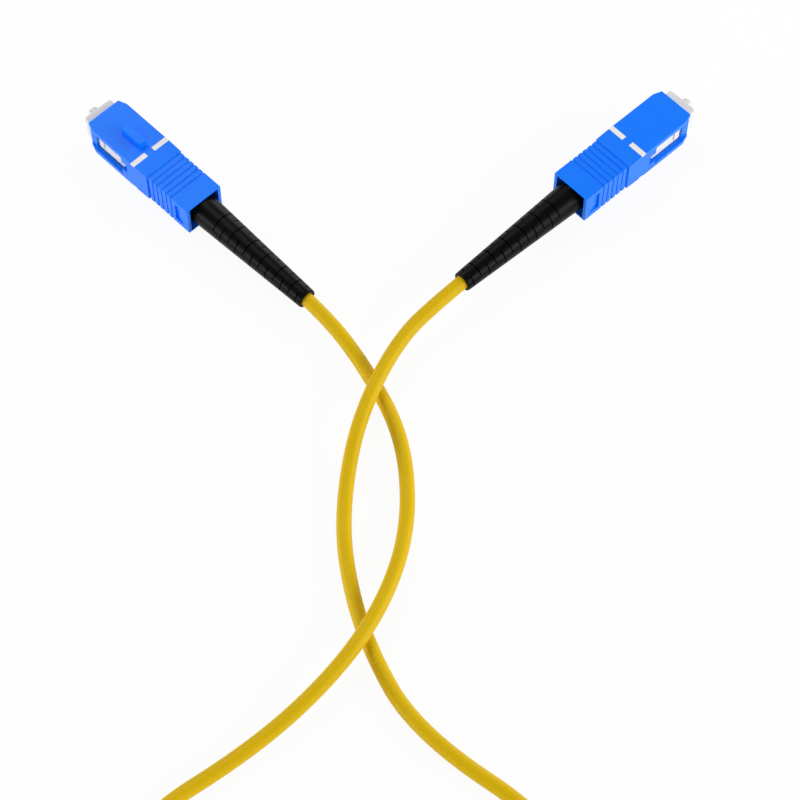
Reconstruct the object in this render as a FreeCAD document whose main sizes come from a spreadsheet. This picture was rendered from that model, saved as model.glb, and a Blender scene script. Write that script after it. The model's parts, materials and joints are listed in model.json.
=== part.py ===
import FreeCAD, Part
import math
import os

import Sketcher

# A short simplex fibre patch cable: two push-pull plugs on one round jacketed cord.
# Each plug is drawn along +X with its origin on the axis at the cord end of its boot, and +Z towards its key.

SIZES = {
    # Push-pull grip, measured back from its front edge
    "grip_width": 9.0,
    "grip_height": 7.4,
    "grip_length": 29.0,
    "grip_front_zone": 14.3,
    "shoulder_length": 3.3,
    "grip_rear_width": 8.6,
    "grip_rear_height": 7.0,
    "corner_length": 1.85,
    "corner_depth": 0.65,
    "grip_clearance": 0.15,
    "mouth_width": 7.2,
    "mouth_height": 6.5,
    "mouth_depth": 4.0,
    "slot_length": 10.0,
    "slot_height": 5.3,
    "bridge_length": 1.75,
    "bridge_wall": 0.3,
    "notch_length": 1.5,
    "notch_height": 2.4,
    "notch_rise": 0.3,
    "groove_count": 6,
    "groove_pitch": 1.3,
    "groove_width": 0.35,
    "groove_depth": 0.15,
    "recess_margin": 1.4,
    "recess_length": 2.3,
    "recess_height": 4.6,
    "recess_deep": 0.45,
    "recess_shallow": 0.1,
    "key_setback": 6.2,
    "key_length": 5.6,
    "key_width": 1.6,
    "key_height": 1.4,
    # Inlaid white marks on both wide faces
    "mark_setback": 13.0,
    "mark_length": 1.1,
    "mark_gap": 1.8,
    "mark_depth": 0.3,
    # Plug frame inside the grip
    "frame_width": 6.6,
    "frame_height": 5.4,
    "frame_length": 17.5,
    "frame_reach": 2.0,
    "nose_chamfer": 0.3,
    "nose_bore": 5.0,
    "nose_bore_depth": 5.0,
    "seat_wall": 1.2,
    "chamber_bore": 4.8,
    "latch_length": 1.2,
    "latch_height": 2.2,
    "latch_reach": 0.6,
    "bar_gap": 0.4,
    "bar_height": 2.0,
    "bar_reach": 0.5,
    # Float of the grip on the frame from its hindmost to its foremost place, held by snap ribs in pockets
    "grip_float": 1.8,
    "snap_setback": 12.2,
    "snap_length": 1.0,
    "snap_width": 3.0,
    "snap_height": 0.35,
    # Ferrule, its flange and the spring behind it
    "ferrule_diameter": 2.5,
    "ferrule_reach": 2.2,
    "ferrule_chamfer": 0.45,
    "ferrule_face": 1.5,
    "ferrule_clearance": 0.05,
    "ferrule_grip": 2.0,
    "ferrule_relief": 0.2,
    "ferrule_travel": 1.5,
    "seat_gap": 0.05,
    "flange_diameter": 4.5,
    "flange_length": 1.8,
    "flange_notch": 0.7,
    "flange_notch_depth": 0.5,
    "stem_diameter": 2.9,
    "stem_stop_gap": 1.2,
    "fibre_bore": 1.0,
    "spring_length": 5.8,
    "spring_turns": 4,
    "spring_wire": 0.5,
    "spring_mean_diameter": 3.8,
    # Back post, crimp sleeve and the held end of the cord
    "post_fit": 0.05,
    "post_collar_diameter": 5.3,
    "post_collar_length": 1.5,
    "post_body_diameter": 4.2,
    "post_body_length": 8.5,
    "post_tail_diameter": 3.4,
    "post_tail_length": 4.5,
    "sleeve_wall": 0.45,
    "sleeve_fit": 0.05,
    "sleeve_overhang": 3.0,
    # Bend-relief boot
    "boot_length": 28.6,
    "boot_insert": 2.0,
    "boot_front_diameter": 6.2,
    "boot_end_diameter": 4.0,
    "boot_end_round": 0.25,
    "boot_cord_gap": 0.1,
    "boot_sleeve_gap": 0.1,
    "slit_count": 6,
    "slit_end_margin": 1.3,
    "slit_front_margin": 1.2,
    "slit_width": 0.25,
    "slit_angle": 130.0,
    "slit_floor_wall": 0.2,
    # Cord and how the plugs lie
    "cord_diameter": 2.8,
    "cord_hold": 4.0,
    "cord_straight": 5.0,
    "crossing_gap": 3.0,
    "plug_a_x": -15.4,
    "plug_a_y": -22.3,
    "plug_a_yaw": 134.6,
    "plug_b_x": 13.6,
    "plug_b_y": -19.4,
    "plug_b_yaw": 42.9,
}

document = FreeCAD.newDocument("fibre_patch_cable")
sheet = document.addObject("Spreadsheet::Sheet", "sizes")
for row, (alias, value) in enumerate(SIZES.items(), start=1):
    sheet.set(f"A{row}", alias)
    sheet.set(f"B{row}", str(value))
    sheet.setAlias(f"B{row}", alias)
document.recompute()

# Places along a plug's axis, each worked out from the sizes
PLACES = {
    "grip_back": "sizes.boot_length",
    "grip_front": "sizes.boot_length + sizes.grip_length",
    "frame_front": "grip_front + sizes.frame_reach",
    "frame_back": "frame_front - sizes.frame_length",
    "seat_front": "frame_front - sizes.nose_bore_depth",
    "seat_back": "seat_front - sizes.seat_wall",
    "flange_front": "seat_back - sizes.seat_gap",
    "flange_back": "flange_front - sizes.flange_length",
    "spring_front": "flange_back - sizes.seat_gap",
    "spring_back": "spring_front - sizes.spring_length",
    "post_front": "spring_back - sizes.seat_gap",
    "stem_back": "post_front + sizes.ferrule_travel + sizes.stem_stop_gap",
    "post_shoulder": "frame_back - sizes.post_collar_length",
    "post_waist": "post_shoulder - sizes.post_body_length",
    "post_back": "post_waist - sizes.post_tail_length",
    "sleeve_back": "post_back - sizes.sleeve_overhang",
    "boot_front": "sizes.boot_length + sizes.boot_insert",
    "sleeve_pocket_back": "sleeve_back - sizes.boot_sleeve_gap",
}


def place(name):
    """Expression of a named place, with the places it is built on written out."""
    terms = PLACES[name].split()
    return "(" + " ".join(place(term) if term in PLACES else term for term in terms) + ")"


def size(text):
    """Value of an expression in the sheet's sizes."""
    return float(sheet.evalExpression(text))


def new_body(label):
    """Empty body that becomes one sub-part."""
    body = document.addObject("PartDesign::Body", label)
    body.Label = label
    return body


def origin_item(body, role):
    """One of a body's own origin planes or axes."""
    return next(item for item in body.Origin.OriginFeatures if item.Role == role)


def new_sketch(body, name, role, offset="0"):
    """Sketch on one of the body's origin planes, moved along the plane's normal."""
    sketch = body.newObject("Sketcher::SketchObject", name)
    sketch.AttachmentSupport = [(origin_item(body, role), "")]
    sketch.MapMode = "FlatFace"
    sketch.setExpression("AttachmentOffset.Base.z", offset)
    return sketch


def pin_point(sketch, edge, corner, across, along):
    """Hold one end of a sketch line at two expressions."""
    index = sketch.addConstraint(Sketcher.Constraint("DistanceX", -1, 1, edge, corner, size(across)))
    sketch.setExpression(f"Constraints[{index}]", across)
    index = sketch.addConstraint(Sketcher.Constraint("DistanceY", -1, 1, edge, corner, size(along)))
    sketch.setExpression(f"Constraints[{index}]", along)


def polygon(sketch, corners):
    """Closed outline whose corners are pairs of expressions."""
    points = [FreeCAD.Vector(size(across), size(along), 0) for across, along in corners]
    edges = []
    for start, end in zip(points, points[1:] + points[:1]):
        edges.append(sketch.addGeometry(Part.LineSegment(start, end)))
    for edge, following in zip(edges, edges[1:] + edges[:1]):
        sketch.addConstraint(Sketcher.Constraint("Coincident", edge, 2, following, 1))
    for edge, (across, along) in zip(edges, corners):
        pin_point(sketch, edge, 1, across, along)


def rectangle(sketch, left, right, bottom, top):
    """Upright rectangle between four expressions."""
    polygon(sketch, [(left, bottom), (right, bottom), (right, top), (left, top)])


def centred_rectangle(sketch, width, height):
    """Rectangle about the sketch's origin."""
    rectangle(sketch, f"-{width} / 2", f"{width} / 2", f"-{height} / 2", f"{height} / 2")


def circle(sketch, diameter):
    """Circle about the sketch's origin."""
    ring = Part.Circle(FreeCAD.Vector(0, 0, 0), FreeCAD.Vector(0, 0, 1), size(diameter) / 2)
    edge = sketch.addGeometry(ring)
    sketch.addConstraint(Sketcher.Constraint("Coincident", edge, 3, -1, 1))
    index = sketch.addConstraint(Sketcher.Constraint("Diameter", edge, size(diameter)))
    sketch.setExpression(f"Constraints[{index}]", diameter)


def pad(body, sketch, name, length, centred=False, backwards=False):
    """Solid pushed out of a sketch."""
    feature = body.newObject("PartDesign::Pad", name)
    feature.Profile = sketch
    feature.Midplane = centred
    feature.Reversed = backwards
    feature.setExpression("Length", length)
    return feature


def pocket(body, sketch, name, length=None, centred=False, backwards=False):
    """Cut pushed into the body, right through it where no length is given."""
    feature = body.newObject("PartDesign::Pocket", name)
    feature.Profile = sketch
    feature.Midplane = centred
    feature.Reversed = backwards
    if length is None:
        feature.Type = "ThroughAll"
    else:
        feature.setExpression("Length", length)
    return feature


def turned(body, name, corners):
    """Solid of revolution about the plug's axis, from an outline of places and radii."""
    sketch = new_sketch(body, name + "_outline", "XY_Plane")
    polygon(sketch, corners)
    feature = body.newObject("PartDesign::Revolution", name)
    feature.Profile = sketch
    feature.ReferenceAxis = (sketch, ["H_Axis"])
    feature.Angle = 360
    return feature


def row_along_axis(body, feature, name, count, pitch):
    """Repeat of a feature along the plug's axis."""
    pattern = body.newObject("PartDesign::LinearPattern", name)
    pattern.Originals = [feature]
    pattern.Direction = (origin_item(body, "X_Axis"), [""])
    pattern.setExpression("Occurrences", count)
    pattern.setExpression("Length", f"({count} - 1) * {pitch}")
    body.Tip = pattern
    return pattern


def make_grip(label):
    """Push-pull outer sleeve: stepped shell, bridged side slots, ribbed waist, key and ramped recesses."""
    body = new_body(label)
    front, back = place("grip_front"), place("grip_back")
    shoulder = f"({front} - sizes.grip_front_zone)"
    waist = f"({shoulder} - sizes.shoulder_length)"
    tall, low = "sizes.grip_height / 2", "sizes.grip_rear_height / 2"
    wide, narrow = "sizes.grip_width / 2", "sizes.grip_rear_width / 2"

    side = new_sketch(body, "side_outline", "XZ_Plane")
    polygon(side, [(back, f"-{low}"), (waist, f"-{low}"), (shoulder, f"-{tall}"), (front, f"-{tall}"),
                   (front, tall), (shoulder, tall), (waist, low), (back, low)])
    pad(body, side, "block", "sizes.grip_width", centred=True)

    # Both narrow sides step in at the waist, and the front corners are cut back
    trim = new_sketch(body, "plan_trim_outline", "XY_Plane")
    for sign in ("", "-"):
        outer = f"{sign}sizes.grip_width"
        rectangle(trim, f"{back} - 1", waist, f"{sign}{narrow}", outer)
        polygon(trim, [(front, f"{sign}({wide} - sizes.corner_depth)"),
                       (f"{front} - sizes.corner_length", f"{sign}{wide}"),
                       (f"{front} - sizes.corner_length", outer), (f"{front} + 1", outer),
                       (f"{front} + 1", f"{sign}({wide} - sizes.corner_depth)")])
    pocket(body, trim, "plan_trim", centred=True)

    # The sleeve runs over the frame, with a taller mouth for the boot
    bore = new_sketch(body, "sleeve_outline", "YZ_Plane", front)
    centred_rectangle(bore, "(sizes.frame_width + 2 * sizes.grip_clearance)",
                      "(sizes.frame_height + 2 * sizes.grip_clearance)")
    pocket(body, bore, "sleeve")
    mouth = new_sketch(body, "mouth_outline", "YZ_Plane", back)
    centred_rectangle(mouth, "sizes.mouth_width", "sizes.mouth_height")
    pocket(body, mouth, "mouth", "sizes.mouth_depth", backwards=True)

    # Side channels let a socket's hooks reach the frame through slots, past a thin bridge at the front
    channel = new_sketch(body, "channel_outline", "XY_Plane")
    floor = "(sizes.frame_width / 2 + sizes.grip_clearance + sizes.bridge_wall)"
    for sign in ("", "-"):
        rectangle(channel, f"{front} - sizes.slot_length", f"{front} + 1",
                  f"{sign}{floor}", f"{sign}sizes.grip_width")
    pocket(body, channel, "channels", "sizes.slot_height", centred=True)
    slot = new_sketch(body, "slot_outline", "XZ_Plane")
    rectangle(slot, f"{front} - sizes.slot_length", f"{front} - sizes.bridge_length",
              "-sizes.slot_height / 2", "sizes.slot_height / 2")
    pocket(body, slot, "slots", centred=True)

    # Each slot ends in a narrow notch
    notch = new_sketch(body, "notch_outline", "XZ_Plane")
    rectangle(notch, f"{front} - sizes.slot_length - sizes.notch_length", f"{front} - sizes.slot_length / 2",
              "sizes.notch_rise - sizes.notch_height / 2", "sizes.notch_rise + sizes.notch_height / 2")
    pocket(body, notch, "notches", centred=True)

    # Snap ribs of the frame float in these pockets
    float_pocket = new_sketch(body, "float_outline", "XY_Plane")
    snap_front = f"({front} - sizes.snap_setback)"
    rectangle(float_pocket, f"{snap_front} - sizes.snap_length - sizes.grip_float / 2 - sizes.grip_clearance",
              f"{snap_front} + sizes.grip_float / 2 + sizes.grip_clearance",
              "-sizes.snap_width / 2 - sizes.grip_clearance", "sizes.snap_width / 2 + sizes.grip_clearance")
    pocket(body, float_pocket, "float_pockets",
           "sizes.frame_height + 2 * sizes.snap_height + 2 * sizes.grip_clearance", centred=True)

    # Grooves run round the waist from its front end and leave the finger ribs between them
    groove = new_sketch(body, "groove_outline", "YZ_Plane", waist)
    centred_rectangle(groove, "(2 * sizes.grip_width)", "(2 * sizes.grip_height)")
    centred_rectangle(groove, "(sizes.grip_rear_width - 2 * sizes.groove_depth)",
                      "(sizes.grip_rear_height - 2 * sizes.groove_depth)")
    first = pocket(body, groove, "groove", "sizes.groove_width")
    ribs = row_along_axis(body, first, "grooves", "sizes.groove_count", "sizes.groove_pitch")
    ribs.Reversed = True

    # Each narrow side has a ramped recess near the mouth
    recess = new_sketch(body, "recess_outline", "XY_Plane")
    recess_back = f"({back} + sizes.recess_margin)"
    recess_front = f"({recess_back} + sizes.recess_length)"
    for sign in ("", "-"):
        polygon(recess, [(recess_back, f"{sign}({narrow} - sizes.recess_shallow)"),
                         (recess_front, f"{sign}({narrow} - sizes.recess_deep)"),
                         (recess_front, f"{sign}sizes.grip_width"), (recess_back, f"{sign}sizes.grip_width")])
    pocket(body, recess, "recesses", "sizes.recess_height", centred=True)

    # Marks are let into both wide faces and reach the side edges
    bars = new_sketch(body, "mark_outline", "XY_Plane", "sizes.grip_height / 2 - sizes.mark_depth")
    mark_front = f"({front} - sizes.mark_setback)"
    for sign in ("", "-"):
        rectangle(bars, f"{mark_front} - sizes.mark_length", mark_front,
                  f"{sign}sizes.mark_gap / 2", f"{sign}sizes.grip_width")
    pocket(body, bars, "top_marks", "sizes.grip_height", backwards=True)
    under = new_sketch(body, "under_mark_outline", "XY_Plane", "sizes.mark_depth - sizes.grip_height / 2")
    for sign in ("", "-"):
        rectangle(under, f"{mark_front} - sizes.mark_length", mark_front,
                  f"{sign}sizes.mark_gap / 2", f"{sign}sizes.grip_width")
    pocket(body, under, "under_marks", "sizes.grip_height")

    key = new_sketch(body, "key_outline", "XY_Plane", "sizes.grip_height / 2")
    key_front = f"({front} - sizes.key_setback)"
    rectangle(key, f"{key_front} - sizes.key_length", key_front,
              "-sizes.key_width / 2", "sizes.key_width / 2")
    pad(body, key, "key", "sizes.key_height")
    return body


def make_mark(label, side, face):
    """One inlaid white mark, on one side of the middle and on the key face or the plain one."""
    body = new_body(label)
    mark_front = f"({place('grip_front')} - sizes.mark_setback)"
    lift = f"{face}(sizes.grip_height / 2 - sizes.mark_depth)"
    sketch = new_sketch(body, "mark_outline", "XY_Plane", lift)
    rectangle(sketch, f"{mark_front} - sizes.mark_length", mark_front,
              f"{side}sizes.mark_gap / 2", f"{side}sizes.grip_width / 2")
    pad(body, sketch, "mark", "sizes.mark_depth", backwards=face == "-")
    return body


def make_frame(label):
    """White plug frame: bored nose, ferrule seat, spring chamber, side latches and snap ribs."""
    body = new_body(label)
    front, back = place("frame_front"), place("frame_back")
    grip_front = place("grip_front")

    block = new_sketch(body, "block_outline", "XY_Plane")
    half, chamfer = "sizes.frame_width / 2", "sizes.nose_chamfer"
    polygon(block, [(back, f"-{half}"), (f"{front} - {chamfer}", f"-{half}"),
                    (front, f"-({half} - {chamfer})"), (front, f"{half} - {chamfer}"),
                    (f"{front} - {chamfer}", half), (back, half)])
    pad(body, block, "block", "sizes.frame_height", centred=True)

    # A short hook catch and a longer guide bar stand in each slot, with room for the float at both ends
    room = "(sizes.grip_float / 2 + sizes.grip_clearance)"
    latch_front = f"({grip_front} - sizes.bridge_length - {room})"
    bar_front = f"({latch_front} - sizes.latch_length - sizes.bar_gap)"
    bar_back = f"({grip_front} - sizes.slot_length + {room})"
    latch = new_sketch(body, "latch_outline", "XZ_Plane")
    rectangle(latch, f"{latch_front} - sizes.latch_length", latch_front,
              "-sizes.latch_height / 2", "sizes.latch_height / 2")
    pad(body, latch, "latches", "sizes.frame_width + 2 * sizes.latch_reach", centred=True)
    bar = new_sketch(body, "bar_outline", "XZ_Plane")
    rectangle(bar, bar_back, bar_front, "-sizes.bar_height / 2", "sizes.bar_height / 2")
    pad(body, bar, "bars", "sizes.frame_width + 2 * sizes.bar_reach", centred=True)
    snap = new_sketch(body, "snap_outline", "XY_Plane")
    snap_front = f"({grip_front} - sizes.snap_setback)"
    rectangle(snap, f"{snap_front} - sizes.snap_length", snap_front,
              "-sizes.snap_width / 2", "sizes.snap_width / 2")
    pad(body, snap, "snap_ribs", "sizes.frame_height + 2 * sizes.snap_height", centred=True)

    nose = new_sketch(body, "nose_bore_outline", "YZ_Plane", front)
    circle(nose, "sizes.nose_bore")
    pocket(body, nose, "nose_bore", "sizes.nose_bore_depth")
    seat = new_sketch(body, "seat_outline", "YZ_Plane", front)
    circle(seat, "(sizes.ferrule_diameter + 2 * sizes.ferrule_clearance)")
    pocket(body, seat, "ferrule_seat")
    chamber = new_sketch(body, "chamber_outline", "YZ_Plane", place("seat_back"))
    circle(chamber, "sizes.chamber_bore")
    pocket(body, chamber, "spring_chamber")
    return body


def make_ferrule(label):
    """Ceramic ferrule with a bevelled mating end, relieved where it passes the seat."""
    body = new_body(label)
    tip = f"({place('frame_front')} + sizes.ferrule_reach)"
    neck_front, neck_back = place("seat_front"), place("flange_front")
    back = f"({neck_back} - sizes.ferrule_grip)"
    radius, face = "sizes.ferrule_diameter / 2", "sizes.ferrule_face / 2"
    neck = f"({radius} - sizes.ferrule_relief)"
    turned(body, "ferrule", [(back, "0"), (tip, "0"), (tip, face), (f"{tip} - sizes.ferrule_chamfer", radius),
                             (neck_front, radius), (neck_front, neck), (neck_back, neck), (neck_back, radius),
                             (back, radius)])
    return body


def make_flange(label):
    """Metal flange that carries the ferrule, with keyed notches and a stem inside the spring."""
    body = new_body(label)
    front, back = place("flange_front"), place("flange_back")
    stem_back = place("stem_back")
    cup = f"({front} - sizes.ferrule_grip)"
    hole, seat = "sizes.fibre_bore / 2", "sizes.ferrule_diameter / 2"
    rim, stem = "sizes.flange_diameter / 2", "sizes.stem_diameter / 2"
    turned(body, "flange", [(stem_back, hole), (cup, hole), (cup, seat), (front, seat), (front, rim),
                            (back, rim), (back, stem), (stem_back, stem)])
    notch = new_sketch(body, "notch_outline", "YZ_Plane", front)
    rectangle(notch, "-sizes.flange_notch / 2", "sizes.flange_notch / 2",
              f"{rim} - sizes.flange_notch_depth", "sizes.flange_diameter")
    cut = pocket(body, notch, "notch", "sizes.flange_length")
    ring = body.newObject("PartDesign::PolarPattern", "notches")
    ring.Originals = [cut]
    ring.Axis = (origin_item(body, "X_Axis"), [""])
    ring.Angle = 360
    ring.Occurrences = 4
    body.Tip = ring
    return body


def make_spring(label):
    """Compression spring of square wire between the flange and the back post."""
    body = new_body(label)
    wire, mean = "sizes.spring_wire", "sizes.spring_mean_diameter / 2"
    start = place("spring_back")
    sketch = new_sketch(body, "wire_outline", "XY_Plane")
    rectangle(sketch, start, f"{start} + {wire}", f"{mean} - {wire} / 2", f"{mean} + {wire} / 2")
    coil = body.newObject("PartDesign::AdditiveHelix", "coil")
    coil.Profile = sketch
    coil.ReferenceAxis = (sketch, ["H_Axis"])
    coil.Mode = "height-turns-angle"
    coil.setExpression("Height", f"sizes.spring_length - {wire}")
    coil.setExpression("Turns", "sizes.spring_turns")
    return body


def make_post(label):
    """Back post that closes the chamber and carries the crimp."""
    body = new_body(label)
    hole = "sizes.fibre_bore / 2"
    plug = "(sizes.chamber_bore / 2 - sizes.post_fit)"
    collar, shank = "sizes.post_collar_diameter / 2", "sizes.post_body_diameter / 2"
    tail = "sizes.post_tail_diameter / 2"
    front, frame_back = place("post_front"), place("frame_back")
    shoulder, waist, back = place("post_shoulder"), place("post_waist"), place("post_back")
    turned(body, "post", [(back, hole), (front, hole), (front, plug), (frame_back, plug),
                          (frame_back, collar), (shoulder, collar), (shoulder, shank), (waist, shank),
                          (waist, tail), (back, tail)])
    return body


def make_sleeve(label):
    """Crimp sleeve, wide over the post's tail and drawn down on the cord."""
    body = new_body(label)
    wide = "(sizes.post_tail_diameter / 2 + sizes.sleeve_fit)"
    narrow = "(sizes.cord_diameter / 2 + sizes.sleeve_fit)"
    front, step, back = place("post_waist"), place("post_back"), place("sleeve_back")
    turned(body, "sleeve", [(back, narrow), (step, narrow), (step, wide), (front, wide),
                            (front, f"{wide} + sizes.sleeve_wall"), (step, f"{wide} + sizes.sleeve_wall"),
                            (f"{step} - sizes.sleeve_wall", f"{narrow} + sizes.sleeve_wall"),
                            (back, f"{narrow} + sizes.sleeve_wall")])
    return body


def make_cord_end(label):
    """Straight end of the cord, held by the crimp sleeve inside the boot."""
    body = new_body(label)
    sketch = new_sketch(body, "section", "YZ_Plane", "sizes.cord_hold")
    circle(sketch, "sizes.cord_diameter")
    pad(body, sketch, "jacket", f"{place('post_back')} - sizes.seat_gap - sizes.cord_hold")
    return body


def make_boot(label):
    """Tapered bend relief with two staggered sets of slits, each slit a part-turn groove."""
    body = new_body(label)
    front, back = place("boot_front"), place("grip_back")
    pocket_back = place("sleeve_pocket_back")
    bore = "(sizes.cord_diameter / 2 + sizes.boot_cord_gap)"
    hollow = "(sizes.post_tail_diameter / 2 + sizes.sleeve_fit + sizes.sleeve_wall + sizes.boot_sleeve_gap)"
    thick, thin = "sizes.boot_front_diameter / 2", "sizes.boot_end_diameter / 2"
    turned(body, "boot", [("0", bore), (pocket_back, bore), (pocket_back, hollow), (front, hollow),
                          (front, thick), (back, thick), ("sizes.boot_end_round", thin),
                          ("0", f"{thin} - sizes.boot_end_round")])
    floor = f"({bore} + sizes.slit_floor_wall)"
    row = f"({pocket_back} - sizes.slit_front_margin - sizes.slit_end_margin)"
    pitch = f"({row} / (2 * sizes.slit_count - 1))"
    for index, role in enumerate(("XY_Plane", "XZ_Plane")):
        start = f"(sizes.slit_end_margin - sizes.slit_width / 2 + {index} * {pitch})"
        sketch = new_sketch(body, f"slit_outline_{index}", role)
        for sign in ("", "-"):
            rectangle(sketch, start, f"{start} + sizes.slit_width",
                      f"{sign}{floor}", f"{sign}sizes.boot_front_diameter")
        slit = body.newObject("PartDesign::Groove", f"slit_{index}")
        slit.Profile = sketch
        slit.ReferenceAxis = (sketch, ["H_Axis"])
        slit.Midplane = True
        slit.setExpression("Angle", "sizes.slit_angle")
        row_along_axis(body, slit, f"slits_{index}", "sizes.slit_count", f"(2 * {pitch})")
    return body


def plug_placement(name, roll, lift):
    """Where a plug lies: its cord exit, its heading on the floor, its roll and its axis height."""
    base = FreeCAD.Vector(size(f"sizes.plug_{name}_x"), size(f"sizes.plug_{name}_y"), lift)
    heading = FreeCAD.Rotation(FreeCAD.Vector(0, 0, 1), size(f"sizes.plug_{name}_yaw"))
    turn = FreeCAD.Rotation(FreeCAD.Vector(1, 0, 0), roll)
    return FreeCAD.Placement(base, heading * turn)


MAKERS = {
    "grip": make_grip,
    "plug_frame": make_frame,
    "ferrule": make_ferrule,
    "ferrule_flange": make_flange,
    "spring": make_spring,
    "back_post": make_post,
    "crimp_sleeve": make_sleeve,
    "cord_end": make_cord_end,
    "boot": make_boot,
}


def make_plug(name, placement):
    """All sub-parts of one plug, laid where the plug lies."""
    bodies = [maker(f"{name}_{label}") for label, maker in MAKERS.items()]
    for face_name, face in (("key_face", ""), ("plain_face", "-")):
        for side_name, side in (("left", ""), ("right", "-")):
            bodies.append(make_mark(f"{name}_mark_{face_name}_{side_name}", side, face))
    document.recompute()
    for body in bodies:
        body.Placement = placement
    return bodies


# One plug lies flat with its key up, and the other rests on its key
axis_low = size("sizes.grip_height / 2")
axis_high = axis_low + size("sizes.key_height")
plug_a = plug_placement("a", 0, axis_low)
plug_b = plug_placement("b", 180, axis_high)
sub_parts = make_plug("a", plug_a) + make_plug("b", plug_b)

# Free cord between the boots: on the floor, over itself twice, and round one loop
lying = size("sizes.cord_diameter / 2")
raised = lying + size("sizes.cord_diameter + sizes.crossing_gap")
CORD_POINTS = [
    (-4.6, -35.5, lying),
    (2.6, -50.4, lying),
    (3.8, -68.0, lying),
    (-0.3, -84.6, raised),
    (-8.8, -98.5, raised),
    (-22.6, -111.2, lying),
    (-43.2, -125.3, lying),
    (-48.8, -144.5, lying),
    (-33.5, -160.2, lying),
    (-5.8, -163.1, lying),
    (17.2, -160.7, lying),
    (33.2, -145.4, lying),
    (29.6, -126.2, lying),
    (4.8, -108.6, lying),
    (-4.0, -91.8, lying),
    (-8.0, -75.5, lying),
    (-8.1, -61.7, lying),
    (-5.4, -47.7, raised),
    (1.6, -31.6, raised),
]
BEND_SHARE = 0.45


def axis_point(placement, along):
    """Point on a plug's axis, measured forward from its cord exit."""
    return placement.multVec(FreeCAD.Vector(along, 0, 0))


def cord_path(points):
    """Wire of straight runs joined by tangent arcs, with the radius of each arc."""
    edges = []
    radii = []
    start = points[0]
    for before, corner, after in zip(points, points[1:], points[2:]):
        inward = (corner - before).normalize()
        outward = (after - corner).normalize()
        trim = BEND_SHARE * min(before.distanceToPoint(corner), corner.distanceToPoint(after))
        half_turn = inward.getAngle(outward) / 2
        arc_start = corner - inward * trim
        arc_end = corner + outward * trim
        radius = trim / math.tan(half_turn)
        centre = corner + (outward - inward).normalize() * (radius / math.cos(half_turn))
        arc_middle = centre + (corner - centre).normalize() * radius
        edges.append(Part.LineSegment(start, arc_start).toShape())
        edges.append(Part.Arc(arc_start, arc_middle, arc_end).toShape())
        radii.append(radius)
        start = arc_end
    edges.append(Part.LineSegment(start, points[-1]).toShape())
    return Part.Wire(edges), radii


def make_cord(label):
    """Plain round tube from one boot to the other."""
    hold, straight = size("sizes.cord_hold"), size("sizes.cord_straight")
    points = [axis_point(plug_a, hold), axis_point(plug_a, -straight)]
    points += [FreeCAD.Vector(point) for point in CORD_POINTS]
    points += [axis_point(plug_b, -straight), axis_point(plug_b, hold)]
    path, radii = cord_path(points)
    radius = size("sizes.cord_diameter / 2")
    ring = Part.Circle(points[0], points[1] - points[0], radius).toShape()
    cord = document.addObject("Part::Feature", label)
    cord.Shape = path.makePipeShell([Part.Wire([ring])], True, False)
    cord.Label = label
    section = math.pi * radius * radius
    print("cord bend radii", [round(bend, 1) for bend in radii])
    print("cord length", round(path.Length, 1), "free", round(path.Length - 2 * hold, 1))
    print("cord volume ratio", round(cord.Shape.Volume / (section * path.Length), 4))
    return cord


sub_parts.append(make_cord("cord"))
document.recompute()

faults = [item.Label for item in document.Objects if {"Invalid", "Error"} & set(item.State)]
faults += [item.Label for item in sub_parts if item.Shape.isNull() or not item.Shape.isValid()]
if faults:
    raise RuntimeError("failed objects: " + ", ".join(faults))

os.makedirs("parts", exist_ok=True)
for item in sub_parts:
    item.Shape.exportStep(f"parts/{item.Label}.step")
    print(item.Label, "volume", round(item.Shape.Volume, 3), "solids", len(item.Shape.Solids))
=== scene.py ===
import json
import math

import bmesh
import bpy
import numpy as np
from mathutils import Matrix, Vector


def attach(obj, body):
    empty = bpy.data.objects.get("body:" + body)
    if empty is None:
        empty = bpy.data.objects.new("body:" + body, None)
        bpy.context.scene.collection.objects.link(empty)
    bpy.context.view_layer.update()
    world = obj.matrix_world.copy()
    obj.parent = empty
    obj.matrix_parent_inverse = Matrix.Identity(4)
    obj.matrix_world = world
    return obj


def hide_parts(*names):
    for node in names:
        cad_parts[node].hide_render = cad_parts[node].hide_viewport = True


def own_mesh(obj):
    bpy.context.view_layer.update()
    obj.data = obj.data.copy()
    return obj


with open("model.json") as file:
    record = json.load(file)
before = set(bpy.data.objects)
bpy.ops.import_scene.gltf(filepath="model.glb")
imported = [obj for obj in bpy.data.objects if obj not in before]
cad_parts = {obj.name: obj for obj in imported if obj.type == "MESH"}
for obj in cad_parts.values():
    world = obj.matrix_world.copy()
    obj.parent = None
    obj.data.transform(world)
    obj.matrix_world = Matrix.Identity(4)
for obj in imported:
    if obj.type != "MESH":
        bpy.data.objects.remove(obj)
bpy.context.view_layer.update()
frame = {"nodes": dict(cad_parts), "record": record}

# Grips
# The push-pull outer sleeve of each plug: injection-moulded blue plastic with a fine satin skin,
# its edges just rounded by the mould. It snaps over the frame and floats on it.
MM = 0.001
# Plug a lies with its key up, and plug b rests on its key
KEY_SIDE = {"a": 1.0, "b": -1.0}
GRIP_BLUE = (2, 124, 255)
GRIP_BLUE_DEEP = (0, 117, 253)
GRIP_EDGE = 0.05
CLOUD_SIZE = 5.0
GLOSS_PATCH_SIZE = 1.3
GLOSS_SPREAD = 0.16
SKIN_STRENGTH = 0.35
WELD_GAP = 0.002
FLAT_ANGLE = math.radians(1)
EDGE_ANGLE = math.radians(35)


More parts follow.
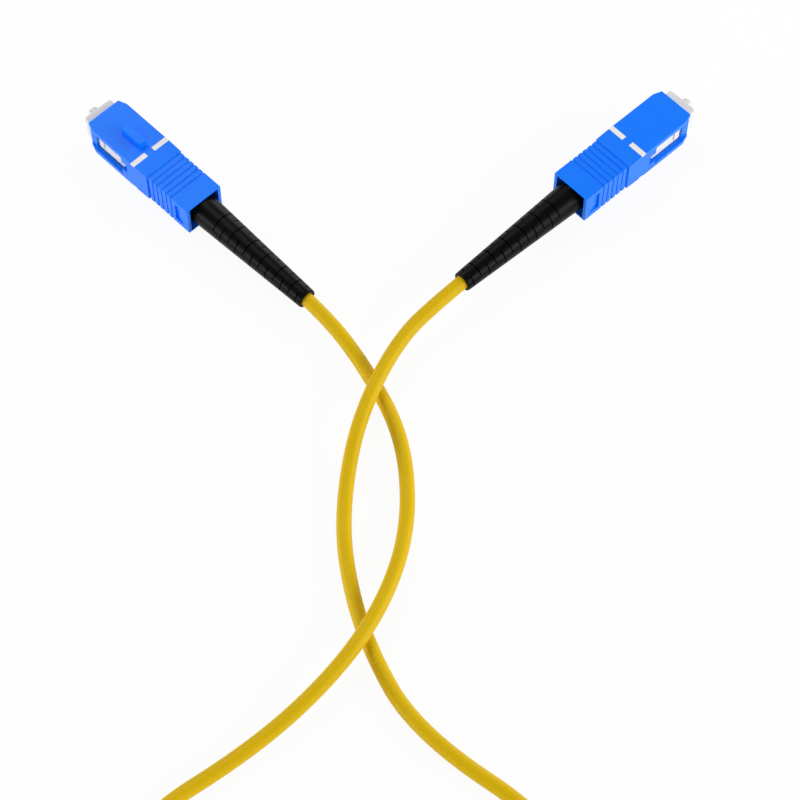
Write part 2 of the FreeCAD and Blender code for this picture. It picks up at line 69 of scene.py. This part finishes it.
class Tone:
    """A socket in a material's nodes. Sums, differences and products of tones add Math nodes."""

    def __init__(self, tree, socket=None):
        self.tree = tree
        self.socket = socket

    def add(self, kind, settings=None, inputs=None, output=0):
        """Adds a node of a type, sets it up, then fills its sockets with values or links."""
        node = self.tree.nodes.new(kind)
        for name, value in (settings or {}).items():
            setattr(node, name, value)
        for name, value in (inputs or {}).items():
            if isinstance(value, Tone):
                self.tree.links.new(value.socket, node.inputs[name])
            else:
                node.inputs[name].default_value = value
        return Tone(self.tree, node.outputs[output])

    def math(self, operation, first, second):
        """Math node on two values or tones."""
        return self.add("ShaderNodeMath", {"operation": operation}, {0: first, 1: second})

    def __add__(self, other):
        return self.math("ADD", self, other)

    def __radd__(self, other):
        return self.math("ADD", other, self)

    def __sub__(self, other):
        return self.math("SUBTRACT", self, other)

    def __rsub__(self, other):
        return self.math("SUBTRACT", other, self)

    def __mul__(self, other):
        return self.math("MULTIPLY", self, other)

    def __rmul__(self, other):
        return self.math("MULTIPLY", other, self)


def linear(colour):
    """Display colour out of 255 to a shader's linear colour.

    A share c of full brightness becomes ((c + 0.055) / 1.055) to the power 2.4, or c / 12.92 near black.
    """
    share = np.array(colour) / 255
    curve = np.where(share <= 0.04045, share / 12.92, ((share + 0.055) / 1.055) ** 2.4)
    return (*curve.tolist(), 1.0)


def new_material(name):
    """Material with its shader node and a tone to start expressions from."""
    material = bpy.data.materials.new(name)
    material.use_nodes = True
    tree = material.node_tree
    return material, tree.nodes["Principled BSDF"], Tone(tree)


def grain(tone, size_mm, detail=2.0):
    """Soft noise from 0 to 1 whose blotches are about the given size."""
    place = tone.add("ShaderNodeTexCoord", output="Object")
    inputs = {"Vector": place, "Scale": 1 / (size_mm * MM), "Detail": detail}
    return tone.add("ShaderNodeTexNoise", inputs=inputs)


def mixed(tone, factor, first, second):
    """Colour mix of two display colours."""
    inputs = {"Factor": factor, "A": linear(first), "B": linear(second)}
    return tone.add("ShaderNodeMix", {"data_type": "RGBA"}, inputs, output="Result")


def bumped(tone, height, strength, distance_mm):
    """Normal bent by a height that varies over the surface."""
    inputs = {"Height": height, "Strength": strength, "Distance": distance_mm * MM}
    return tone.add("ShaderNodeBump", inputs=inputs)


def join(tone, value, shader, name):
    """Link from a tone to one of a shader's sockets."""
    tone.tree.links.new(value.socket, shader.inputs[name])


def moulded(name, first, second, roughness, specular, skin_mm, skin_height_mm):
    """Moulded plastic: two close colours in soft clouds, uneven gloss and a fine skin."""
    material, shader, tone = new_material(name)
    shader.inputs["Specular IOR Level"].default_value = specular
    join(tone, mixed(tone, grain(tone, CLOUD_SIZE), first, second), shader, "Base Color")
    join(tone, roughness + GLOSS_SPREAD * (grain(tone, GLOSS_PATCH_SIZE) - 0.5), shader, "Roughness")
    join(tone, bumped(tone, grain(tone, skin_mm), SKIN_STRENGTH, skin_height_mm), shader, "Normal")
    return material


def softened(node, name, edge_mm, material):
    """Copy of a CAD node's mesh with its edges rounded, which then stands for the node."""
    mesh = frame["nodes"][node].data.copy()
    mesh.name = name
    form = bmesh.new()
    form.from_mesh(mesh)
    bmesh.ops.remove_doubles(form, verts=form.verts, dist=WELD_GAP * MM)
    bmesh.ops.dissolve_limit(form, angle_limit=FLAT_ANGLE, verts=form.verts, edges=form.edges)
    form.to_mesh(mesh)
    form.free()
    mesh.materials.clear()
    mesh.materials.append(material)
    if "custom_normal" in mesh.attributes:
        mesh.attributes.remove(mesh.attributes["custom_normal"])
    piece = bpy.data.objects.new(name, mesh)
    bpy.context.scene.collection.objects.link(piece)
    mesh.shade_smooth()
    bevel = piece.modifiers.new("edges", "BEVEL")
    bevel.width = edge_mm * MM
    bevel.segments = 2
    bevel.limit_method = "ANGLE"
    bevel.angle_limit = EDGE_ANGLE
    bevel.use_clamp_overlap = False
    bevel.harden_normals = True
    return piece


grip_plastic = moulded("grip_plastic", GRIP_BLUE, GRIP_BLUE_DEEP, roughness=0.38, specular=0.2,
                       skin_mm=0.12, skin_height_mm=0.01)
for plug in KEY_SIDE:
    grip = softened(f"{plug}_grip", f"{plug}_grip_shell", GRIP_EDGE, grip_plastic)
    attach(grip, f"{plug}_grip")
    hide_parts(f"{plug}_grip")

# White marks
# Two short bars on each wide face, moulded white and let into the blue flush with it. They
# disappear into the port when the plug is home.
MARK_WHITE = (238, 237, 236)
MARK_SHADE = (231, 230, 229)
MARKS = [f"{plug}_mark_{face}_{side}" for plug in KEY_SIDE for face in ("key_face", "plain_face")
         for side in ("left", "right")]


def dress(node, material):
    """Gives a CAD node its finish."""
    mesh = frame["nodes"][node].data
    mesh.materials.clear()
    mesh.materials.append(material)


mark_plastic = moulded("mark_plastic", MARK_WHITE, MARK_SHADE, roughness=0.5, specular=0.3,
                       skin_mm=0.1, skin_height_mm=0.006)
for node in MARKS:
    dress(node, mark_plastic)

# Plug frames
# The white inner frame that holds the ferrule: moulded in one piece, bored at the nose, with
# hook catches and guide bars on its narrow sides that show in the grip's slots.
FRAME_WHITE = (229, 229, 228)
FRAME_SHADE = (220, 220, 219)
FRAME_EDGE = 0.06
frame_plastic = moulded("frame_plastic", FRAME_WHITE, FRAME_SHADE, roughness=0.42, specular=0.35,
                        skin_mm=0.12, skin_height_mm=0.008)
for plug in KEY_SIDE:
    inner = softened(f"{plug}_plug_frame", f"{plug}_frame_shell", FRAME_EDGE, frame_plastic)
    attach(inner, "cable")
    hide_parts(f"{plug}_plug_frame")

# Ferrules
# Ground zirconia rods with a bevelled and slightly domed mating end, pressed into their flanges.
# Their skin is fine and nearly polished.
CERAMIC_WHITE = (231, 231, 229)
CERAMIC_SHADE = (222, 222, 220)
CERAMIC_ROUGHNESS = 0.14
CERAMIC_ROUGHNESS_SPREAD = 0.12
FERRULE_RADIUS = 1.25
FERRULE_TIP = 4.2
FERRULE_BACK = -6.25
FERRULE_BEVEL = 0.45
FERRULE_FACE = 0.75
FERRULE_DOME = 0.03
DOME_STEPS = 9
TURNED_RING = 96
POINT_WELD_GAP = 0.0005
SHARP_ANGLE = math.radians(38)
mounts = {mount["name"]: mount for mount in frame["record"]["mounts"]}


def plug_axes(plug):
    """Front point of a plug's grip in metres, and its forward, left and key directions, as arrays."""
    nose = mounts[f"{plug}_plug_nose"]
    forward = np.array(nose["axis"], float)
    key = np.array([0.0, 0.0, KEY_SIDE[plug]])
    return np.array(nose["pos_m"], float), forward, np.cross(key, forward), key


def laid(plug, points):
    """Points drawn along a plug in millimetres to their places in metres.

    The place is the grip's front point plus x along forward, y along left and z along the key's direction.
    """
    origin, forward, left, key = plug_axes(plug)
    return origin + MM * (points[..., :1] * forward + points[..., 1:2] * left + points[..., 2:] * key)


def ring_faces(rings, ring):
    """Quads between neighbouring rings of points, closed round each ring."""
    rows, columns = np.meshgrid(np.arange(rings - 1), np.arange(ring), indexing="ij")
    following = (columns + 1) % ring
    corners = [rows * ring + columns, (rows + 1) * ring + columns,
               (rows + 1) * ring + following, rows * ring + following]
    return np.stack(corners, axis=-1).reshape(-1, 4).tolist()


def plug_mesh(name, plug, points, faces):
    """Closed piece from points in plug millimetres, with doubles merged and its faces turned outwards."""
    mesh = bpy.data.meshes.new(name)
    mesh.from_pydata(laid(plug, points).reshape(-1, 3).tolist(), [], faces)
    form = bmesh.new()
    form.from_mesh(mesh)
    bmesh.ops.remove_doubles(form, verts=form.verts, dist=POINT_WELD_GAP * MM)
    bmesh.ops.recalc_face_normals(form, faces=form.faces)
    form.to_mesh(mesh)
    form.free()
    mesh.shade_smooth()
    mesh.set_sharp_from_angle(angle=SHARP_ANGLE)
    piece = bpy.data.objects.new(name, mesh)
    bpy.context.scene.collection.objects.link(piece)
    return piece


def turned_mesh(name, plug, profile, ring=TURNED_RING, depth=None):
    """Surface of revolution about a plug's axis.

    The profile is a row of (x, radius) pairs. A point at angle a round the axis lies at
    (x, r cos a, r sin a), where r is the radius less the depth given for that x and a.
    """
    angles = np.linspace(0, 2 * np.pi, ring, endpoint=False)
    x = profile[:, :1] + 0 * angles
    radius = profile[:, 1:] + 0 * angles
    if depth is not None:
        radius = radius - depth(x, angles + 0 * x)
    points = np.stack([x, radius * np.cos(angles), radius * np.sin(angles)], axis=-1)
    return plug_mesh(name, plug, points, ring_faces(len(profile), ring))


ceramic, shader, tone = new_material("ferrule_ceramic")
clouds = grain(tone, size_mm=0.9)
gloss = CERAMIC_ROUGHNESS + CERAMIC_ROUGHNESS_SPREAD * grain(tone, size_mm=0.25)
skin = bumped(tone, grain(tone, size_mm=0.06), strength=0.15, distance_mm=0.003)
join(tone, mixed(tone, clouds, CERAMIC_WHITE, CERAMIC_SHADE), shader, "Base Color")
join(tone, gloss, shader, "Roughness")
join(tone, skin, shader, "Normal")
# The dome drops with the square of the distance from the axis
spread = np.linspace(0, 1, DOME_STEPS)
dome = np.stack([FERRULE_TIP - FERRULE_DOME * spread ** 2, FERRULE_FACE * spread], axis=-1)
body = [(FERRULE_TIP - FERRULE_BEVEL, FERRULE_RADIUS), (FERRULE_BACK, FERRULE_RADIUS), (FERRULE_BACK, 0.0)]
for plug in KEY_SIDE:
    rod = turned_mesh(f"{plug}_ferrule_rod", plug, np.vstack([dome, body]))
    rod.data.materials.append(ceramic)
    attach(rod, f"{plug}_ferrule")
    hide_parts(f"{plug}_ferrule")

# Inner metalwork
# Nickel-plated flange and back post and an aluminium crimp sleeve, all hidden inside the frame,
# the grip and the boot. The post is pressed into the frame and the sleeve over the post.
TOOL_MARK_DETAIL = 3.0
TOOL_MARK_GLOSS = 0.2


def metal(name, colour, shade, roughness, lines_mm):
    """Machined metal: plated colour with faint tool marks in its gloss."""
    material, shader, tone = new_material(name)
    shader.inputs["Metallic"].default_value = 1.0
    marks = grain(tone, lines_mm, TOOL_MARK_DETAIL)
    join(tone, mixed(tone, marks, colour, shade), shader, "Base Color")
    join(tone, roughness + TOOL_MARK_GLOSS * (marks - 0.5), shader, "Roughness")
    return material


METALS = {
    "ferrule_flange": metal("flange_nickel", colour=(196, 194, 188), shade=(176, 174, 170),
                            roughness=0.3, lines_mm=0.2),
    "back_post": metal("post_nickel", colour=(194, 190, 180), shade=(172, 168, 160),
                       roughness=0.32, lines_mm=0.3),
    "crimp_sleeve": metal("crimp_aluminium", colour=(205, 205, 206), shade=(182, 182, 184),
                          roughness=0.36, lines_mm=0.25),
}
for plug in KEY_SIDE:
    for label, finish in METALS.items():
        dress(f"{plug}_{label}", finish)

# Springs
# Compression springs of drawn steel wire, wound round the flange's stem. Each stands on the back
# post and pushes its ferrule forward.
SPRING_BACK = -11.9
SPRING_LENGTH = 5.8
SPRING_TURNS = 4
SPRING_WIRE = 0.5
SPRING_RADIUS = 1.9
TURN_STEPS = 48
WIRE_RING = 12


def on_axis(plug, x):
    """Point on a plug's axis, as an array in metres."""
    return laid(plug, np.array([x, 0.0, 0.0]))


def coil_points():
    """Round wire on a helix.

    At turn angle t the wire's middle lies at (back + rise, R cos t, R sin t), and its skin lies one wire
    radius from there, round the outward direction and the one square to it and to the wire.
    """
    t = np.linspace(0, 2 * np.pi * SPRING_TURNS, TURN_STEPS * SPRING_TURNS + 1)
    rise = SPRING_WIRE / 2 + (SPRING_LENGTH - SPRING_WIRE) * t / t[-1]
    outward = np.stack([0 * t, np.cos(t), np.sin(t)], axis=-1)
    middle = SPRING_RADIUS * outward + (SPRING_BACK + rise)[:, None] * np.array([1.0, 0.0, 0.0])
    along = np.gradient(middle, axis=0)
    across = np.cross(along / np.linalg.norm(along, axis=1, keepdims=True), outward)
    u = np.linspace(0, 2 * np.pi, WIRE_RING, endpoint=False)[:, None]
    return middle[:, None] + SPRING_WIRE / 2 * (np.cos(u) * outward[:, None] + np.sin(u) * across[:, None])


steel = metal("spring_steel", colour=(172, 172, 174), shade=(140, 140, 143), roughness=0.28, lines_mm=0.15)
wire = coil_points()
wire_ends = [list(range(WIRE_RING)), list(range((len(wire) - 1) * WIRE_RING, len(wire) * WIRE_RING))]
for plug in KEY_SIDE:
    spring = plug_mesh(f"{plug}_spring_coil", plug, wire, ring_faces(len(wire), WIRE_RING) + wire_ends)
    spring.data.materials.append(steel)
    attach(spring, "cable")
    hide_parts(f"{plug}_spring")
    tuple(on_axis(plug, SPRING_BACK))
    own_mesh(spring)

# Boots
# Black thermoplastic rubber bend reliefs, tapered towards the cord and slit in staggered part
# turns so that they bend with it. The front end is hollow for the crimp sleeve and sits inside
# the grip's mouth.
BOOT_BLACK = (5, 5, 5)
BOOT_BLACK_WORN = (9, 8, 8)
BOOT_FRONT = -27.0
BOOT_MOUTH = -29.0
BOOT_PLAIN_ROW = -31.0
BOOT_END = -57.6
BOOT_FRONT_RADIUS = 3.1
BOOT_END_RADIUS = 2.0
BOOT_BORE = 1.5
BOOT_LIP = 0.08
BOOT_ROUND = 0.25
BOOT_ROUND_STEPS = 6
BOOT_RING = 240
POCKET_BACK = -33.1
POCKET_RADIUS = 2.3
SLITS = 12
SLIT_PITCH = 2.0
SLIT_MARGIN = 1.3
SLIT_WIDTH = 0.2
SLIT_EDGE = 0.05
SLIT_HALF_TURN = math.radians(65)
SLIT_TURN_EDGE = 0.03
SLIT_FLOOR = 1.7


def boot_radius(x):
    """Outer radius: a straight taper from the mouth to the cord end."""
    share = np.clip((x - BOOT_END) / (BOOT_MOUTH - BOOT_END), 0, 1)
    return BOOT_END_RADIUS + (BOOT_FRONT_RADIUS - BOOT_END_RADIUS) * share


def slit_depth(x, angle):
    """Depth of the slits: down to their floor where a point lies within a slit's width and part turn.

    Slits at even levels face left and right, and those at odd levels face the key and the plain face.
    """
    level = np.round((x - BOOT_END - SLIT_MARGIN) / SLIT_PITCH)
    centre = BOOT_END + SLIT_MARGIN + level * SLIT_PITCH
    facing = np.where(level % 2 == 0, 0.0, np.pi / 2)
    off = np.abs((angle - facing + np.pi / 2) % np.pi - np.pi / 2)
    across = np.clip((SLIT_WIDTH / 2 - np.abs(x - centre)) / SLIT_EDGE + 0.5, 0, 1)
    along = np.clip((SLIT_HALF_TURN - off) / SLIT_TURN_EDGE + 0.5, 0, 1)
    inside = (level >= 0) & (level < SLITS)
    return np.where(inside, across * along * np.maximum(boot_radius(x) - SLIT_FLOOR, 0), 0)


# The profile runs from the pocket along the bore to the cord end, round its lip, up the taper and back
# into the pocket. Every slit has rows of points at its middle and across both of its edges.
levels = BOOT_END + SLIT_MARGIN + SLIT_PITCH * np.arange(SLITS)
slit_sides = np.array([-SLIT_WIDTH / 2, SLIT_WIDTH / 2])
edge_rows = np.array([-1.0, -0.6, 0.6, 1.0]) * SLIT_EDGE / 2
cuts = (levels[:, None, None] + slit_sides[:, None] + edge_rows).ravel()
taper_x = np.sort(np.concatenate([cuts, levels, levels + SLIT_PITCH / 2, [BOOT_MOUTH, BOOT_PLAIN_ROW]]))
taper = np.stack([taper_x, boot_radius(taper_x)], axis=-1)
turn = np.linspace(0, np.pi / 2, BOOT_ROUND_STEPS)
rounding = np.stack([BOOT_END + BOOT_ROUND * (1 - np.sin(turn)),
                     boot_radius(BOOT_END) - BOOT_ROUND * (1 - np.cos(turn))], axis=-1)[::-1]
bore = [(POCKET_BACK, BOOT_BORE), (BOOT_END + BOOT_LIP, BOOT_BORE), (BOOT_END, BOOT_BORE + BOOT_LIP)]
pocket = [(BOOT_FRONT, BOOT_FRONT_RADIUS), (BOOT_FRONT, POCKET_RADIUS),
          (POCKET_BACK, POCKET_RADIUS), (POCKET_BACK, BOOT_BORE)]
boot_profile = np.vstack([bore, rounding, taper, pocket])
rubber = moulded("boot_rubber", BOOT_BLACK, BOOT_BLACK_WORN, roughness=0.36, specular=0.085,
                 skin_mm=0.09, skin_height_mm=0.006)
for plug in KEY_SIDE:
    boot = turned_mesh(f"{plug}_boot_sleeve", plug, boot_profile, ring=BOOT_RING, depth=slit_depth)
    boot.data.materials.append(rubber)
    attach(boot, "cable")
    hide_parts(f"{plug}_boot")

# Cord
# A round simplex cord: smooth yellow jacket over yarn and one buffered fibre, stiff enough to lie
# in wide curves. It leaves both boots straight, crosses itself twice and turns in one loop.
JACKET_YELLOW = (214, 178, 0)
JACKET_YELLOW_DEEP = (209, 172, 0)
CORD_DIAMETER = 2.8
CORD_HOLD = 4.0
CORD_STRAIGHT = 5.0
CROSSING_GAP = 0.15
LYING = CORD_DIAMETER / 2
RAISED = LYING + CORD_DIAMETER + CROSSING_GAP
CORD_POINTS = [
    (-4.6, -35.5, LYING),
    (2.6, -50.4, LYING),
    (3.8, -68.0, LYING),
    (-0.3, -84.6, RAISED),
    (-8.8, -98.5, RAISED),
    (-22.6, -111.2, LYING),
    (-43.2, -125.3, LYING),
    (-48.8, -144.5, LYING),
    (-33.5, -160.2, LYING),
    (-5.8, -163.1, LYING),
    (17.2, -160.7, LYING),
    (33.2, -145.4, LYING),
    (29.6, -126.2, LYING),
    (4.8, -108.6, LYING),
    (-4.0, -91.8, LYING),
    (-8.0, -75.5, LYING),
    (-8.1, -61.7, LYING),
    (-5.4, -47.7, RAISED),
    (1.6, -31.6, RAISED),
]
jacket = moulded("cord_jacket", JACKET_YELLOW, JACKET_YELLOW_DEEP, roughness=0.42, specular=0.13,
                 skin_mm=0.6, skin_height_mm=0.003)
route = np.vstack([[on_axis("a", BOOT_END + CORD_HOLD), on_axis("a", BOOT_END - CORD_STRAIGHT)],
                   MM * np.array(CORD_POINTS),
                   [on_axis("b", BOOT_END - CORD_STRAIGHT), on_axis("b", BOOT_END + CORD_HOLD)]])
strand = bpy.data.curves.new("cord_strand", "CURVE")
strand.dimensions = "3D"
line = strand.splines.new("NURBS")
line.points.add(len(route) - 1)
line.points.foreach_set("co", np.column_stack([route, np.ones(len(route))]).ravel())
line.order_u = 3
line.use_endpoint_u = True
line.resolution_u = 16
strand.bevel_depth = CORD_DIAMETER / 2 * MM
strand.bevel_resolution = 10
strand.use_fill_caps = True
strand.materials.append(jacket)
cord = bpy.data.objects.new("cord_strand", strand)
bpy.context.scene.collection.objects.link(cord)
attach(cord, "cable")
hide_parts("cord")
tuple(on_axis("a", BOOT_END))
for plug in KEY_SIDE:
    dress(f"{plug}_cord_end", jacket)

# Studio
# A white sweep inside a light tent: soft panels low on the left, right and front, and two smaller
# ones behind. It is seen steeply from above through a long lens.
FLOOR_REACH = 6.0
FLOOR_BEND = 1.6
FLOOR_DROP = 0.02
FLOOR_RING = 64
FLOOR_BEND_STEPS = 9
FLOOR_WHITE = (0.95, 0.95, 0.95, 1)
FLOOR_GLOW = 0.93
TENT_GLOW = 0.17
AIM = (0.002, -0.042, 0.0)
CAMERA_RISE = math.radians(60)
CAMERA_DISTANCE = 0.45
FOCAL_PIXELS = 2430
PHOTO_PIXELS = 800
SENSOR = 36.0

# The floor is flat out to its reach, and then its rim turns up in a quarter circle all round
bend = np.linspace(0, np.pi / 2, FLOOR_BEND_STEPS)[:, None]
around = np.linspace(0, 2 * np.pi, FLOOR_RING, endpoint=False)
reach = FLOOR_REACH + FLOOR_BEND * np.sin(bend)
height = FLOOR_BEND * (1 - np.cos(bend)) - FLOOR_DROP * MM
rim = np.stack([reach * np.cos(around), reach * np.sin(around), height + 0 * around], axis=-1)
floor_faces = [list(range(FLOOR_RING))] + ring_faces(FLOOR_BEND_STEPS, FLOOR_RING)
floor_mesh = bpy.data.meshes.new("floor")
floor_mesh.from_pydata(rim.reshape(-1, 3).tolist(), [], floor_faces)
floor = bpy.data.objects.new("floor", floor_mesh)
bpy.context.scene.collection.objects.link(floor)
paper, shader, tone = new_material("floor_paper")
shader.inputs["Base Color"].default_value = FLOOR_WHITE
shader.inputs["Roughness"].default_value = 0.9
shader.inputs["Specular IOR Level"].default_value = 0.0
seen = tone.add("ShaderNodeLightPath", output="Is Camera Ray")
mirrored = tone.add("ShaderNodeLightPath", output="Is Glossy Ray")
passed = tone.add("ShaderNodeLightPath", output="Is Transmission Ray")
lit = Tone(tone.tree, shader.outputs[0])
glow = tone.add("ShaderNodeEmission", inputs={"Color": (1, 1, 1, 1), "Strength": 1.0})
white = tone.add("ShaderNodeMixShader", inputs={0: FLOOR_GLOW * (seen + mirrored + passed), 1: lit, 2: glow})
tone.tree.links.new(white.socket, tone.tree.nodes["Material Output"].inputs["Surface"])
floor_mesh.materials.append(paper)

tent = bpy.data.worlds.new("studio")
bpy.context.scene.world = tent
tent.use_nodes = True
tent.node_tree.nodes["Background"].inputs["Color"].default_value = (1, 1, 1, 1)
tent.node_tree.nodes["Background"].inputs["Strength"].default_value = TENT_GLOW


def soft_lamp(name, place, width, height, power):
    """Upright area lamp aimed at the middle of the view."""
    data = bpy.data.lights.new(name, "AREA")
    data.shape = "RECTANGLE"
    data.size = width
    data.size_y = height
    data.energy = power
    lamp = bpy.data.objects.new(name, data)
    lamp.location = place
    lamp.rotation_euler = (Vector(AIM) - Vector(place)).to_track_quat("-Z", "Y").to_euler()
    bpy.context.scene.collection.objects.link(lamp)


soft_lamp("rim_light", (0.47, 1.06, 0.43), width=0.6, height=0.6, power=4.4)
soft_lamp("back_light", (-0.4, 0.55, 0.9), width=0.6, height=0.6, power=4.8)
soft_lamp("left_light", (-1.2, -0.2, 0.2), width=1.4, height=0.35, power=9.5)
soft_lamp("right_light", (1.11, -0.25, 0.43), width=1.4, height=0.5, power=13.2)
soft_lamp("front_light", (0.0, -1.22, 0.55), width=0.8, height=0.8, power=4.2)

camera_data = bpy.data.cameras.new("camera")
camera_data.sensor_width = SENSOR
camera_data.lens = SENSOR * FOCAL_PIXELS / PHOTO_PIXELS
camera_data.clip_start = 0.01
camera = bpy.data.objects.new("camera", camera_data)
stand_off = CAMERA_DISTANCE * Vector((0, -math.cos(CAMERA_RISE), math.sin(CAMERA_RISE)))
camera.location = Vector(AIM) + stand_off
camera.rotation_euler = (math.pi / 2 - CAMERA_RISE, 0, 0)
bpy.context.scene.collection.objects.link(camera)
bpy.context.scene.camera = camera
bpy.context.scene.view_settings.view_transform = "Standard"

bpy.context.view_layer.update()
